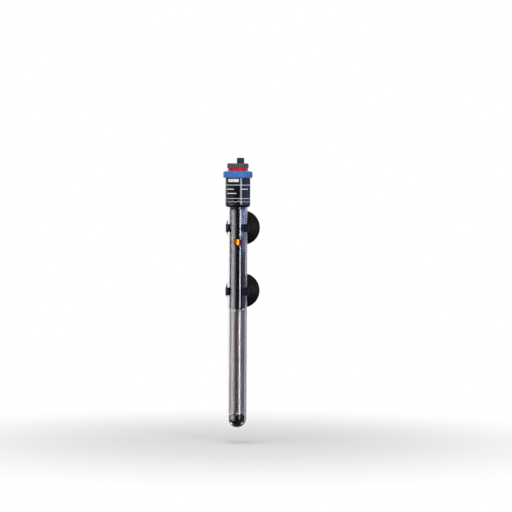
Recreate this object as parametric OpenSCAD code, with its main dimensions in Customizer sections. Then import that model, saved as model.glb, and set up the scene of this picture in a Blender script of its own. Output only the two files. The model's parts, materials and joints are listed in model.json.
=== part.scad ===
// Submersible aquarium heater: glass tube, wound element, thermostat, dial head, two sucker clips.
// Millimetres. Z runs up the tube, +Y points at the aquarium wall the two cups hold on to.
// The origin is the centre of the upper cup's contact face.

/* [Glass tube] */
// Outside diameter of the tube
tube_diameter = 23; // [21:0.5:25]
// Wall of the tube
tube_wall = 1.4; // [1.1:0.1:1.6]
// Length of tube held inside the head
tube_in_head = 20.8; // [17:0.2:22]

/* [Heating element] */
// Height of the winding's lower end above the tip
element_foot = 15; // [14:0.5:20]
// Length of the winding
element_length = 123.7; // [80:0.1:180]
// Strands of wire side by side round the core
strand_count = 12; // [8:2:12]
// Thickness of a strand
strand_diameter = 2; // [1.6:0.1:2.1]
// Height climbed by a strand in one turn
strand_lead = 37.7; // [36:0.1:48]

/* [Thermostat] */
// Length of the dark sleeve seen below the head
sleeve_length = 117.5; // [100:0.5:150]
// Height of the lamp above the winding
lamp_height = 77; // [60:0.5:82]
// Height of the lamp's oval window
lamp_window = 6.9; // [5:0.1:7.5]
// Width of the lamp's oval window
lamp_width = 8.8; // [7.6:0.1:9.4]
// Travel of the setting nut for one turn of its spindle
spindle_lead = 1.5; // [0.5:0.1:1.6]

/* [Head] */
// Diameter of the head housing
head_diameter = 29; // [28:0.2:31]
// Height of the head housing
head_height = 33.8; // [32:0.2:40]
// Diameter of the scale ring
scale_ring_diameter = 34; // [33:0.2:37]
// Height of the scale ring
scale_ring_height = 8; // [7:0.2:10]
// Diameter of the pointer ring
pointer_ring_diameter = 23.3; // [23:0.1:24.5]
// Height of the pointer ring
pointer_ring_height = 3.2; // [2.6:0.1:4]
// Place of the pointer, from the front towards the left
pointer_angle = 45; // [0:5:90]
// Diameter of the setting knob
knob_diameter = 24.8; // [24:0.1:27]
// Height of the setting knob
knob_height = 5.5; // [5:0.1:8]
// Grip grooves round the knob
knob_grooves = 44; // [24:2:60]

/* [Cable gland] */
// Diameter of the gland
gland_diameter = 8.5; // [8:0.1:9.4]
// Height of the gland above the knob
gland_height = 6.5; // [5:0.5:12]
// Distance of the gland from the tube's axis
gland_offset = 3; // [2.6:0.1:3.2]
// Diameter of the cable's hole
cable_hole = 5.4; // [5:0.1:5.8]

/* [Sucker clips] */
// Diameter of a suction cup
cup_diameter = 40.6; // [36:0.2:42]
// Distance from the tube's axis to the aquarium wall
standoff = 30; // [29:0.5:34]
// Height of a clip's band
clip_height = 9; // [8:0.5:11]
// Wall of a clip's band
clip_wall = 2.3; // [2:0.1:2.6]
// Angle left open at a clip's mouth
clip_mouth = 88; // [70:1:100]
// Distance of the upper clip below the head
clip_below_head = 24.2; // [24:0.2:28]
// Distance between the two clips
clip_spacing = 73.5; // [72:0.5:90]
// Turn of the heater in its clips
heater_turn = 12; // [-45:1:45]

/* [Hidden] */
$fn = 64;
// Gap of two pieces seated in each other, and of two that turn or slide
seat_gap = 0.05;
run_gap = 0.1;

// Heights above the tip of the tube, from the bottom up
tube_r = tube_diameter / 2;
bore_r = tube_r - tube_wall;
winding_low = element_foot;
winding_high = winding_low + element_length;
collar_height = 4.8;
sleeve_low = winding_high + collar_height;
head_low = winding_high + sleeve_length;
glass_high = head_low + tube_in_head;
head_high = head_low + head_height;
ring_high = head_high + scale_ring_height;
pointer_low = ring_high + 0.15;
pointer_high = pointer_low + pointer_ring_height;
knob_low = pointer_high + 0.1;
knob_high = knob_low + knob_height;
post_high = knob_high - 0.5;
gland_high = knob_high + gland_height;
plug_low = head_low + 10;
spigot_low = plug_low - 3;
lamp_z = winding_high + lamp_height;
upper_clip_z = head_low - clip_below_head;
lower_clip_z = upper_clip_z - clip_spacing;

// Pieces inside the glass
sleeve_r = bore_r - 0.9;
sleeve_wall = 0.45;
cap_r = sleeve_r + 0.1;
strand_r = strand_diameter / 2;
strand_path = sleeve_r - 0.25 - strand_r;
core_r = strand_path * cos(15) - strand_r - 0.1;
board_half = sleeve_r - 1.2;
board_thick = 1.2;
board_face = board_thick / 2 + seat_gap;
arm_low = winding_high + 39.5;
arm_high = arm_low + 68;
contact_z = arm_high - 5;
arm_face = 3;
arm_thick = 0.5;
arm_half = 2.5;
pivot_r = 0.5;
pivot_y = arm_face + arm_thick;
pivot_z = arm_low - 1;
knuckle_r = 1;
rivet_r = 1.1;
rivet_z = arm_low - 4;

// Setting gears: an inside gear in the knob drives a small pinion
ring_teeth = 30;
pinion_teeth = 10;
pressure_angle = 25;
gear_module = (pointer_ring_diameter / 2 - 1.9) / (ring_teeth / 2 + 1.25);
ring_pitch = gear_module * ring_teeth / 2;
pinion_pitch = gear_module * pinion_teeth / 2;
pinion_offset = ring_pitch - pinion_pitch;
ring_root = ring_pitch + 1.25 * gear_module;
ring_tip = ring_pitch - 0.65 * gear_module;
gear_play = 0.08;
skirt_r = ring_root + 0.65;
post_r = ring_tip - 1;
bead_r = post_r + 0.9;
gear_low = ring_high + 0.3;
gear_high = knob_high - 3.1;
spindle_r = 1.5;
spindle_low = spigot_low - 17;
nut_z = spindle_low + 6;

// Head walls
head_r = head_diameter / 2;
head_bore = head_r - 1.4;
plug_r = head_bore - seat_gap;
ring_r = scale_ring_diameter / 2;
ring_slope = 0.3;
slope_from = plug_r + 0.5;
gland_r = gland_diameter / 2;
stem_r = cable_hole / 2 + 0.9;
gland_floor = head_high + 2;

// Clip and cup, measured from the tube's axis towards the wall
clip_r = tube_r + run_gap;
clip_out = clip_r + clip_wall;
clip_back = standoff - 13;
peg_r = 2.5;
peg_head_r = 3.6;
peg_wall = 2.4;
boss_r = 5.6;
cup_r = cup_diameter / 2;
cup_lip = 0.8;
cup_rise = 8.4;
cup_hollow = 5.4;
cup_hub_r = 8.5;

function circle_rise(half, rise) = (half * half + rise * rise) / (2 * rise);
function involute(angle) = tan(angle) * 180 / PI - angle;
function roll(base, radius) = involute(acos(min(1, base / radius)));
function polar(radius, angle) = [radius * cos(angle), radius * sin(angle)];

// Half width of a gear tooth, as an angle, at a radius
function tooth_half(teeth, pitch, radius, play) =
  90 / teeth + play / pitch * 180 / PI
  + involute(pressure_angle) - roll(pitch * cos(pressure_angle), radius);

// Outline of a gear: four points up one flank of each tooth and four down the other
function gear_outline(teeth, pitch, root, tip, play) =
  let (base = max(root, pitch * cos(pressure_angle)))
  let (steps = [root, base + 0.02, (base + pitch) / 2, pitch, (pitch + tip) / 2, tip])
  [
    for (tooth = [0 : teeth - 1])
      each concat(
        [for (i = [0 : 5])
          polar(steps[i], tooth * 360 / teeth - tooth_half(teeth, pitch, max(steps[i], base), play))],
        [for (i = [5 : -1 : 0])
          polar(steps[i], tooth * 360 / teeth + tooth_half(teeth, pitch, max(steps[i], base), play))]
      )
  ];

// The tube's own axis, tip at zero, front towards -Y
module tube_frame() {
  translate([0, -standoff, -upper_clip_z])
    children();
}

module heater_frame() {
  tube_frame()
    rotate([0, 0, heater_turn])
      children();
}

// Half section of a ring whose outer corners are rounded
module ring_section(inner, outer, low, high, low_round, high_round) {
  difference() {
    translate([inner, low])
      square([outer - inner, high - low]);
    if (low_round > 0)
      corner_cut(outer, low, low_round, -1);
    if (high_round > 0)
      corner_cut(outer, high, high_round, 1);
  }
}

module corner_cut(outer, level, round, way) {
  translate([outer - round, level - way * round])
    difference() {
      translate([0, way > 0 ? 0 : -2 * round])
        square(2 * round);
      circle(round);
    }
}

module tube_ring(inner, outer, low, high) {
  difference() {
    translate([0, 0, low])
      cylinder(r = outer, h = high - low);
    translate([0, 0, low - 1])
      cylinder(r = inner, h = high - low + 2);
  }
}

module upright(x, y, radius, low, high) {
  translate([x, y, low])
    cylinder(r = radius, h = high - low);
}

module block(x0, x1, y0, y1, z0, z1) {
  translate([x0, y0, z0])
    cube([x1 - x0, y1 - y0, z1 - z0]);
}

// Glass tube with a round closed end
module glass_tube() {
  color([0.86, 0.92, 0.95, 0.35])
    heater_frame()
      rotate_extrude()
        difference() {
          union() {
            translate([0, tube_r])
              square([tube_r, glass_high - tube_r]);
            intersection() {
              translate([0, tube_r])
                circle(tube_r);
              square([tube_r, 2 * tube_r]);
            }
          }
          translate([0, tube_r])
            circle(bore_r);
          translate([-1, tube_r])
            square([bore_r + 1, glass_high]);
        }
}

// Winding: one wire laid up and down the core in slanting strands, bent back at each end
function strand_slope() = atan(strand_lead / (2 * PI * strand_path));
function strand_shift() =
  2 * PI * strand_path / strand_count * cos(strand_slope()) * sin(strand_slope());
function strand_start(k) =
  k % 2 == 0 ? winding_high - 1.4 - (k == 0 ? 0 : strand_shift()) : winding_low + 1.4;
function strand_end(k) =
  k % 2 == 0 ? winding_low + 1.4 + strand_shift() : winding_high - 1.4;

function wire_angle(k, z) = k * 360 / strand_count + 360 * (z - winding_low) / strand_lead;
function unrolled(k, z) = [wire_angle(k, z) * PI / 180 * strand_path, z];

function strand_points(k, steps) =
  [for (i = [0 : steps])
    unrolled(k, strand_start(k) + (strand_end(k) - strand_start(k)) * i / steps)];

// Half circle from the end of one strand to the start of the next
function bend_points(k, steps) =
  let (from = unrolled(k, strand_end(k)))
  let (to = unrolled(k + 1, strand_start(k + 1)))
  let (middle = (from + to) / 2)
  let (out = from - middle)
  let (way = k % 2 == 0 ? -1 : 1)
  let (ahead = way * norm(out) * [cos(strand_slope()), sin(strand_slope())])
  [for (i = [1 : steps - 1])
    middle + out * cos(180 * i / steps) + ahead * sin(180 * i / steps)];

function wire_path() = [
  for (k = [0 : strand_count - 1])
    each concat(strand_points(k, 36), k < strand_count - 1 ? bend_points(k, 5) : [])
];

// Ring of points round the wire at one place of its path
function wire_ring(path, i, sides) =
  let (last = len(path) - 1)
  let (along = path[min(i + 1, last)] - path[max(i - 1, 0)])
  let (side = [-along[1], along[0]] / norm(along))
  let (angle = path[i][0] / strand_path * 180 / PI)
  let (radial = [cos(angle), sin(angle), 0])
  let (tangent = [-sin(angle), cos(angle), 0])
  let (across = side[0] * tangent + [0, 0, side[1]])
  [for (s = [0 : sides - 1])
    strand_path * radial + [0, 0, path[i][1]]
    + strand_r * (cos(360 * s / sides) * radial + sin(360 * s / sides) * across)];

module heating_wire() {
  sides = 5;
  path = wire_path();
  count = len(path);
  points = [for (i = [0 : count - 1]) each wire_ring(path, i, sides)];
  walls = [
    for (i = [0 : count - 2])
      for (s = [0 : sides - 1])
        let (a = i * sides + s)
        let (b = i * sides + (s + 1) % sides)
        each [[a, a + sides, b], [b, a + sides, b + sides]]
  ];
  first = [for (s = [0 : sides - 1]) s];
  last = [for (s = [sides - 1 : -1 : 0]) (count - 1) * sides + s];
  color([0.62, 0.60, 0.58])
    heater_frame()
      polyhedron(points, concat(walls, [first, last]));
}

// Ceramic rod that carries the winding
module ceramic_core() {
  color([0.80, 0.76, 0.70])
    heater_frame()
      tube_ring(1.4, core_r, winding_low - 4.4, winding_high + 1.2);
}

// Dark cap under the winding, rounded to follow the end of the tube
module lower_element_cap() {
  low = winding_low - 8.7;
  color([0.10, 0.09, 0.11])
    heater_frame()
      difference() {
        rotate_extrude()
          ring_section(0, cap_r - 0.15, low, winding_low, 2.3, 0.4);
        upright(0, 0, core_r + seat_gap, winding_low - 4.5, winding_low + 1);
        upright(0, 0, 1.4, low - 1, winding_low);
      }
}

// Soft pad between the cap and the end of the tube
module bottom_cushion() {
  color([0.09, 0.09, 0.10])
    heater_frame()
      intersection() {
        translate([0, 0, tube_r])
          sphere(r = bore_r - 0.2);
        upright(0, 0, 5.2, 0, winding_low - 8.8);
      }
}

// Dark collar between the winding and the sleeve
module upper_element_cap() {
  color([0.10, 0.09, 0.11])
    heater_frame()
      difference() {
        union() {
          rotate_extrude()
            ring_section(0, cap_r, winding_high, sleeve_low, 0.5, 0.3);
          upright(0, 0, sleeve_r - sleeve_wall - seat_gap, sleeve_low - 0.5, sleeve_low + 2.5);
        }
        upright(0, 0, core_r + seat_gap, winding_high - 1, winding_high + 1.3);
        for (side = [-1, 1])
          upright(0, side * 4, 1, winding_high, sleeve_low + 3);
        block(-board_half - seat_gap, board_half + seat_gap, -board_face, board_face,
          winding_high + 2.6, sleeve_low + 3);
      }
}

// Rod through the lamp's window, oval, with flat top and bottom
module window_rod(height, width) {
  side_shift = (width - height) / 2;
  translate([0, 0, lamp_z])
    rotate([90, 0, 0])
      for (side = [-1, 1])
        translate([side * side_shift, 0, 0])
          cylinder(d = height, h = 2 * sleeve_r);
  block(-side_shift, side_shift, -2 * sleeve_r, 0, lamp_z - height / 2, lamp_z + height / 2);
}

// Opaque sleeve round the thermostat, with a window for the lamp
module light_sleeve() {
  color([0.09, 0.08, 0.13])
    heater_frame()
      difference() {
        tube_ring(sleeve_r - sleeve_wall, sleeve_r, sleeve_low + seat_gap, plug_low - seat_gap);
        window_rod(lamp_window, lamp_width);
      }
}

// Red lens filling the sleeve's window
module lamp_lens() {
  color([0.85, 0.16, 0.05])
    heater_frame()
      intersection() {
        tube_ring(sleeve_r - 1, sleeve_r, lamp_z - lamp_window, lamp_z + lamp_window);
        window_rod(lamp_window - 2 * seat_gap, lamp_width - 2 * seat_gap);
      }
}

// Glow lamp behind the lens, on two wires bent back to the board
module neon_lamp() {
  bulb_y = -4.4;
  color([0.95, 0.55, 0.20])
    heater_frame() {
      translate([0, bulb_y, lamp_z - 6])
        rotate_extrude()
          union() {
            square([2.6, 9]);
            intersection() {
              translate([0, 9])
                circle(2.6);
              square([2.6, 12]);
            }
          }
      for (side = [-1, 1]) {
        upright(side * 1.2, bulb_y, 0.35, lamp_z - 9, lamp_z - 5.5);
        translate([side * 1.2, bulb_y, lamp_z - 8.8])
          rotate([-90, 0, 0])
            cylinder(r = 0.35, h = -bulb_y - board_face);
      }
    }
}

// Series resistor of the lamp, lying across the board
module lamp_resistor() {
  color([0.70, 0.58, 0.42])
    heater_frame()
      translate([0, -board_face - 1.3, lamp_z - 15])
        rotate([0, 90, 0]) {
          cylinder(r = 1, h = 6, center = true);
          for (side = [-1, 1])
            translate([0, 0, side * 2.5])
              cylinder(r = 1.3, h = 1.6, center = true);
          cylinder(r = 0.35, h = 11, center = true);
        }
}

// Board that carries the thermostat
module thermostat_board() {
  color([0.55, 0.36, 0.18])
    heater_frame()
      difference() {
        block(-board_half, board_half, -board_thick / 2, board_thick / 2,
          winding_high + 2.7, plug_low + 1);
        block(-sleeve_r, -pinion_offset + 3.1, -2, 2, spindle_low - 2, plug_low + 2);
        for (z = [winding_high + 20, winding_high + 30])
          translate([0, 0, z])
            rotate([90, 0, 0])
              cylinder(r = 1.2, h = 4, center = true);
        translate([0, 0, rivet_z])
          rotate([90, 0, 0])
            cylinder(r = rivet_r + seat_gap, h = 4, center = true);
      }
}

// Interference capacitor on the front of the board
module capacitor() {
  low = winding_high + 38;
  color([0.75, 0.55, 0.15])
    heater_frame() {
      block(-4.6, 4.6, -5, -board_face, low, low + 12);
      for (side = [-1, 1])
        upright(side * 2.5, -2.6, 0.35, low - 4, low + 1);
    }
}

// Thermal fuse on the front of the board, above the winding
module thermal_fuse() {
  low = winding_high + 11;
  color([0.78, 0.78, 0.80])
    heater_frame() {
      upright(0, -board_face - 1.9, 1.9, low, low + 11);
      upright(0, -board_face - 1.9, 0.4, low - 3, low + 15);
    }
}

// Rod across the heater, from left to right
module cross_rod(y, z, radius, length) {
  translate([0, y, z])
    rotate([0, 90, 0])
      cylinder(r = radius, h = length, center = true);
}

// Brass foot riveted to the board, with two ears and the arm's pivot pin
module terminal_post() {
  ear_half = arm_half + 0.9;
  ear_gap = arm_half + run_gap;
  color([0.80, 0.62, 0.28])
    heater_frame() {
      block(-3, 3, board_face, pivot_y - knuckle_r - run_gap, arm_low - 6, arm_low + 2);
      for (side = [-1, 1])
        block(min(side * ear_gap, side * ear_half), max(side * ear_gap, side * ear_half),
          board_face, pivot_y + knuckle_r, pivot_z - knuckle_r, pivot_z + knuckle_r);
      cross_rod(pivot_y, pivot_z, pivot_r, 2 * ear_half - 0.2);
      translate([0, -board_face + 0.1, rivet_z])
        rotate([-90, 0, 0])
          cylinder(r = rivet_r, h = 2);
    }
}

// Two-metal switching arm, curled round the pivot pin at its foot and free at the top
module bimetal_strip() {
  color([0.72, 0.66, 0.55])
    heater_frame()
      difference() {
        union() {
          block(-arm_half, arm_half, arm_face, arm_face + arm_thick, pivot_z, arm_high);
          cross_rod(pivot_y, pivot_z, knuckle_r, 2 * arm_half);
        }
        cross_rod(pivot_y, pivot_z, pivot_r + run_gap, 4 * arm_half);
        translate([0, arm_face, arm_low + 14])
          rotate([-90, 0, 0])
            cylinder(r = 0.9, h = 2, center = true);
      }
}

// Silver contact on the arm
module moving_contact() {
  color([0.85, 0.85, 0.87])
    heater_frame()
      translate([0, arm_face - 0.8, contact_z])
        rotate([-90, 0, 0])
          cylinder(r = 1.5, h = 0.8);
}

// Fixed contact on its brass bracket
module fixed_contact() {
  color([0.82, 0.66, 0.34])
    heater_frame() {
      block(-2.5, 2.5, board_face, board_face + 0.5, contact_z - 5, contact_z + 5);
      translate([0, board_face + 0.4, contact_z])
        rotate([-90, 0, 0])
          cylinder(r = 1.5, h = arm_face - 0.9 - board_face - 0.4);
    }
}

// Small magnet that makes the arm snap
module snap_magnet() {
  color([0.22, 0.22, 0.24])
    heater_frame()
      block(-2, 2, board_face, arm_face - 0.5, contact_z - 16, contact_z - 10);
}

// Nut on the spindle's thread; it climbs as the knob turns and shifts the switching point
module setting_nut() {
  color([0.90, 0.88, 0.82])
    heater_frame()
      difference() {
        union() {
          block(-pinion_offset - 2.1, -pinion_offset + 2.8, -2.2, 2.2, nut_z - 4, nut_z + 4);
          block(-pinion_offset + 0.2, -pinion_offset + 2.8, 1.2, 5.4, nut_z - 4, nut_z - 1);
        }
        upright(-pinion_offset, 0, spindle_r + run_gap, nut_z - 6, nut_z + 6);
      }
}

// Spindle with its pinion; the knob's inside gear turns it
module setting_spindle() {
  color([0.83, 0.68, 0.32])
    heater_frame()
      translate([-pinion_offset, 0, 0]) {
        upright(0, 0, spindle_r, spindle_low, gear_high);
        translate([0, 0, gear_low + 0.4])
          linear_extrude(gear_high - gear_low - 0.4)
            polygon(gear_outline(pinion_teeth, pinion_pitch, pinion_pitch - 1.25 * gear_module,
              pinion_pitch + gear_module, -gear_play));
      }
}

// Rubber ring sealing the spindle
module spindle_seal() {
  color([0.07, 0.07, 0.07])
    heater_frame()
      translate([-pinion_offset, 0, ring_high - 3.2])
        rotate_extrude()
          translate([spindle_r + 0.63, 0])
            circle(0.58);
}

// Brass washer over the spindle's seal
module spindle_washer() {
  color([0.80, 0.64, 0.30])
    heater_frame()
      translate([-pinion_offset, 0, 0])
        tube_ring(spindle_r + run_gap, spindle_r + 1.2, ring_high - 2.5, ring_high - 1.7);
}

// Conductor from the cable down to the board
module conductor(side) {
  heater_frame()
    upright(gland_offset, side * 1.4, 0.55, spigot_low - 8, gland_floor);
}

module live_lead() {
  color([0.45, 0.25, 0.12])
    conductor(1);
}

module neutral_lead() {
  color([0.15, 0.30, 0.65])
    conductor(-1);
}

// Housing of the head, rounded underneath
module head_housing() {
  color([0.11, 0.10, 0.20])
    heater_frame()
      rotate_extrude()
        difference() {
          ring_section(0, head_r, head_low, head_high, 3, 0.4);
          translate([-1, head_low - 1])
            square([tube_r + seat_gap + 1, head_height + 2]);
          translate([-1, head_low + 4])
            square([head_bore + 1, head_height]);
        }
}

// Rubber collar gripping the glass in the housing
module glass_seal() {
  color([0.07, 0.07, 0.07])
    heater_frame()
      rotate_extrude()
        difference() {
          ring_section(tube_r + seat_gap, plug_r, head_low + 4 + seat_gap, glass_high - 0.4, 0.3, 0.3);
          for (z = [head_low + 8, head_low + 12, head_low + 16])
            translate([plug_r, z])
              circle(0.5);
        }
}

// Plug closing the head; its post carries the knob and lets the cable through
module head_plug() {
  color([0.13, 0.13, 0.14])
    heater_frame()
      difference() {
        union() {
          upright(0, 0, sleeve_r - sleeve_wall - seat_gap, spigot_low, plug_low + 1);
          upright(0, 0, bore_r - seat_gap, plug_low, glass_high + 1);
          upright(0, 0, plug_r, glass_high + 0.1, ring_high - 0.4);
          upright(0, 0, post_r, ring_high - 1, post_high);
          upright(0, 0, bead_r, post_high - 1.3, post_high);
        }
        rotate_extrude()
          translate([plug_r - 1.15, head_high - 8])
            square([3, 1.7]);
        upright(gland_offset, 0, stem_r + seat_gap, gland_floor - 0.3, knob_high);
        upright(gland_offset, 0, 2.2, spigot_low - 1, gland_floor);
        upright(-pinion_offset, 0, spindle_r + run_gap, spigot_low - 1, ring_high);
        upright(-pinion_offset, 0, spindle_r + 1.25, ring_high - 3.8, ring_high);
        upright(-pinion_offset, 0, pinion_pitch + gear_module + 0.3, ring_high - 0.4, gear_high + 0.2);
        block(-pinion_offset + 3.05, board_half + seat_gap, -board_face, board_face,
          spigot_low - 1, plug_low + 1.1);
      }
}

// Rubber ring between the plug and the housing
module plug_seal() {
  color([0.07, 0.07, 0.07])
    heater_frame()
      translate([0, 0, head_high - 7.15])
        rotate_extrude()
          translate([plug_r - 0.57, 0])
            circle(0.55);
}

// Scale ring with a sloping top
module scale_ring() {
  color([0.25, 0.44, 0.72])
    heater_frame()
      rotate_extrude()
        difference() {
          ring_section(plug_r + seat_gap, ring_r, head_high + seat_gap, ring_high, 1.5, 1.6);
          polygon([
            [slope_from, ring_high],
            [ring_r + 2, ring_high - (ring_r + 2 - slope_from) * ring_slope],
            [ring_r + 2, ring_high + 1],
            [slope_from, ring_high + 1]
          ]);
        }
}

// Pointer ring, held on the knob's skirt by friction so that the dial can be corrected.
// Its pointer is a beak on the side, broad above and sharp below, close over the scale.
module pointer_ring() {
  pointer_r = pointer_ring_diameter / 2;
  root = pointer_r - 0.6;
  beak_half = 2.3;
  tip_half = 0.2;
  beak_r = slope_from - 0.2;
  color([0.89, 0.03, 0.12])
    heater_frame() {
      rotate_extrude()
        ring_section(skirt_r + run_gap, pointer_r, pointer_low, pointer_high, 0.2, 0.2);
      rotate([0, 0, 270 - pointer_angle])
        hull() {
          block(root, beak_r, -beak_half, beak_half, pointer_high - 0.7, pointer_high - 0.3);
          block(root, beak_r, -tip_half, tip_half, pointer_low, pointer_low + 0.4);
        }
    }
}

// Knob: grooved grip above, skirt with the inside gear below
module setting_knob() {
  knob_r = knob_diameter / 2;
  color([0.33, 0.33, 0.35])
    heater_frame()
      difference() {
        union() {
          rotate_extrude()
            ring_section(post_r + 0.3, knob_r, knob_low, knob_high, 0.3, 1.4);
          tube_ring(ring_root - 0.3, skirt_r, gear_low, knob_low + 0.5);
        }
        upright(0, 0, bead_r + 0.3, post_high - 1.4, knob_high + 1);
        translate([0, 0, gear_low - 1])
          linear_extrude(gear_high - gear_low + 1.2)
            polygon(gear_outline(ring_teeth, ring_pitch, ring_tip, ring_root, gear_play));
        for (i = [0 : knob_grooves - 1])
          rotate([0, 0, (i + 0.5) * 360 / knob_grooves])
            upright(knob_r + 0.2, 0, 0.5, knob_low - 1, knob_high + 1);
      }
}

// Rubber gland where the cable comes out, beside the tube's axis
module cable_gland() {
  color([0.12, 0.11, 0.11])
    heater_frame()
      translate([gland_offset, 0, 0])
        difference() {
          union() {
            rotate_extrude()
              ring_section(0, gland_r, post_high + seat_gap, gland_high, 0.2, 0.6);
            upright(0, 0, stem_r, gland_floor, post_high + 1);
          }
          upright(0, 0, cable_hole / 2, gland_floor + 2, gland_high + 1);
          for (side = [-1, 1])
            upright(0, side * 1.4, 0.6, gland_floor - 1, gland_floor + 3);
        }
}

// Spring clip round the tube, with a boss that holds the cup's peg
module clip_body() {
  tip_angle = clip_mouth / 2;
  middle = clip_r + clip_wall / 2;
  difference() {
    union() {
      linear_extrude(clip_height, center = true) {
        difference() {
          circle(clip_out);
          circle(clip_r);
          polygon([
            [0, 0],
            3 * clip_out * [-sin(tip_angle), -cos(tip_angle)],
            [0, -5 * clip_out],
            3 * clip_out * [sin(tip_angle), -cos(tip_angle)]
          ]);
        }
        for (side = [-1, 1])
          translate(middle * [side * sin(tip_angle), -cos(tip_angle)])
            circle(clip_wall / 2 - 0.001);
      }
      translate([0, clip_r - 2, 0])
        rotate([-90, 0, 0])
          cylinder(r = boss_r, h = clip_back - clip_r + 2);
    }
    cylinder(r = clip_r, h = 3 * clip_height, center = true);
    rotate([-90, 0, 0])
      cylinder(r = peg_head_r + 0.3, h = clip_back - peg_wall);
    rotate([-90, 0, 0])
      cylinder(r = peg_r + run_gap, h = clip_back + 1);
  }
}

// Suction cup turned about its own axis, contact face at zero, peg upwards
module cup_body() {
  outer_round = circle_rise(cup_r, cup_rise - cup_lip);
  inner_round = circle_rise(cup_r - 1.6, cup_hollow);
  hub_high = standoff - clip_back - run_gap;
  head_low = standoff - clip_back + peg_wall + run_gap;
  rotate_extrude()
    difference() {
      union() {
        square([cup_r, cup_lip]);
        intersection() {
          translate([0, cup_rise - outer_round])
            circle(outer_round);
          square([cup_r, cup_rise]);
        }
        ring_section(0, cup_hub_r, cup_lip, hub_high, 0, 1.6);
        square([peg_r, head_low + 0.5]);
        ring_section(0, peg_head_r, head_low, head_low + 2.3, 0.3, 1);
      }
      translate([0, cup_hollow - inner_round])
        circle(inner_round);
    }
}

module upper_clip() {
  color([0.11, 0.11, 0.19])
    tube_frame()
      translate([0, 0, upper_clip_z])
        clip_body();
}

module lower_clip() {
  color([0.11, 0.11, 0.19])
    tube_frame()
      translate([0, 0, lower_clip_z])
        clip_body();
}

module upper_cup() {
  color([0.08, 0.08, 0.07])
    rotate([90, 0, 0])
      cup_body();
}

module lower_cup() {
  color([0.08, 0.08, 0.07])
    translate([0, 0, -clip_spacing])
      rotate([90, 0, 0])
        cup_body();
}

glass_tube();
heating_wire();
ceramic_core();
lower_element_cap();
bottom_cushion();
upper_element_cap();
light_sleeve();
lamp_lens();
neon_lamp();
lamp_resistor();
thermostat_board();
capacitor();
thermal_fuse();
terminal_post();
bimetal_strip();
moving_contact();
fixed_contact();
snap_magnet();
setting_nut();
setting_spindle();
spindle_seal();
spindle_washer();
live_lead();
neutral_lead();
head_housing();
glass_seal();
head_plug();
plug_seal();
scale_ring();
pointer_ring();
setting_knob();
cable_gland();
upper_clip();
lower_clip();
upper_cup();
lower_cup();
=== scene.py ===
import json
import math

import bmesh
import bpy
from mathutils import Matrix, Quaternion, Vector


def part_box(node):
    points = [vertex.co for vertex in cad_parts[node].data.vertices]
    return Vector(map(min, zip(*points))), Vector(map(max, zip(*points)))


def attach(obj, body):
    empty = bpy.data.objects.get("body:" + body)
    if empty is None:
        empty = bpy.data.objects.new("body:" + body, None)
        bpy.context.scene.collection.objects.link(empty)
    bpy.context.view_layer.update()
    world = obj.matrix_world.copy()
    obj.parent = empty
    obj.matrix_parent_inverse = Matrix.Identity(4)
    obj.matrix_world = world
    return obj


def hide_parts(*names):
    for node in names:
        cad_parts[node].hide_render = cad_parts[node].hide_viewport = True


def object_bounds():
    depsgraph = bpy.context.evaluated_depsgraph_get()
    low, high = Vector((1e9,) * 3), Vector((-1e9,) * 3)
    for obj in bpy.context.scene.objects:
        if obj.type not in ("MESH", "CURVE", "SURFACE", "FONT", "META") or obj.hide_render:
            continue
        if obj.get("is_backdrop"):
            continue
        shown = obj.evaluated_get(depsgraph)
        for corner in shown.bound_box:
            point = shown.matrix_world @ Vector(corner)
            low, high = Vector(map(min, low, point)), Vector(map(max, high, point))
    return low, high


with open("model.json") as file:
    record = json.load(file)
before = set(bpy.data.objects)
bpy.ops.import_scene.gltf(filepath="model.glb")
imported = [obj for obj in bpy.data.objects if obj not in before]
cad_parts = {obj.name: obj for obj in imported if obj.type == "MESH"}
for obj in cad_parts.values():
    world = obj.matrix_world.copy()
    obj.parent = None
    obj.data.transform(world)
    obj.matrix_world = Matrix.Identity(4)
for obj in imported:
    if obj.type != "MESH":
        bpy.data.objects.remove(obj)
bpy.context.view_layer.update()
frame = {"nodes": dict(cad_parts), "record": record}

MM = 0.001

# Where the heater stands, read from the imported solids
TUBE_LOW, TUBE_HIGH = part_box("glass_tube")
GLAND_LOW, GLAND_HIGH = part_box("cable_gland")
AXIS = (TUBE_LOW + TUBE_HIGH) / 2
TIP = TUBE_LOW.z
GLAND = (GLAND_LOW + GLAND_HIGH) / 2
TOP = GLAND_HIGH.z
# Turn of the heater about its axis: the gland stands on its right-hand side
TURN = math.atan2(GLAND.y - AXIS.y, GLAND.x - AXIS.x)


def ends(name):
    """Lower and upper end of a CAD node above the tip, and its half width, in millimetres."""
    low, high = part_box(name)
    return (low.z - TIP) / MM, (high.z - TIP) / MM, (high.y - low.y) / 2 / MM


def around(angle, radius, height):
    """A point round the tube. Angle from the heater's front towards its right, in degrees."""
    way = TURN - math.pi / 2 + math.radians(angle)
    out = Vector((math.cos(way), math.sin(way), 0)) * radius * MM
    return Vector((AXIS.x + out.x, AXIS.y + out.y, TIP + height * MM))


OUT = around(0, 1, 0) - around(0, 0, 0)
OUT.normalize()
RIGHT_HAND = Vector((-OUT.y, OUT.x, 0))
LENS_LOW, LENS_TOP, _ = ends("lamp_lens")
LAMP = (LENS_LOW + LENS_TOP) / 2


# Colours and materials

# The part of a noise texture's range that is used
NOISE = {"From Min": 0.3, "From Max": 0.7}
# Size of the drift in a moulding's tone, in millimetres
DRIFT = 14
# Spread of the roughness along the lines of worked metal
METAL_SPREAD = 0.06


def tone(code):
    """An sRGB hex value as the linear colour that a socket takes."""
    parts = [int(code[i : i + 2], 16) / 255 for i in (1, 3, 5)]
    return [c / 12.92 if c <= 0.04045 else ((c + 0.055) / 1.055) ** 2.4 for c in parts] + [1.0]


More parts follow.
